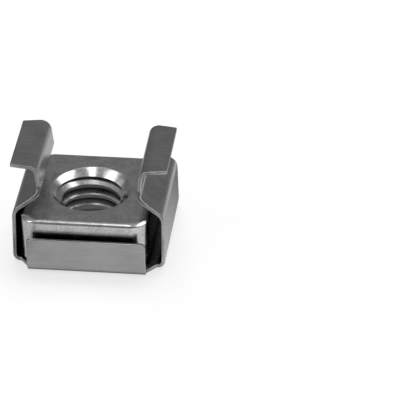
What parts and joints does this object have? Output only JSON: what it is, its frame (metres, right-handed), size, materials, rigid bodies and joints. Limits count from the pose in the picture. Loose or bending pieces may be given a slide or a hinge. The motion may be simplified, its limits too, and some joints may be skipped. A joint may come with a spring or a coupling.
{
  "type": "rack cage nut",
  "caption": "Square threaded nut held loosely in a folded spring steel cage, whose sprung arms clip it into a square hole.",
  "frame": {"origin": "centre of the cage's underside, on the surface that it stands on", "axes": "+Z from the base towards the lips, X across the two sprung arms, Y across the two plain tabs"},
  "size_m": [0.0128, 0.0128, 0.0084],
  "materials": {
    "cage_steel": "bright plated spring steel sheet, smooth, with fine rolling lines",
    "nut_steel": "bright plated steel, polished by tumbling"
  },
  "bodies": {
    "root": {"cage": "cage_steel", "square_nut": "nut_steel"}
  },
  "joints": []
}
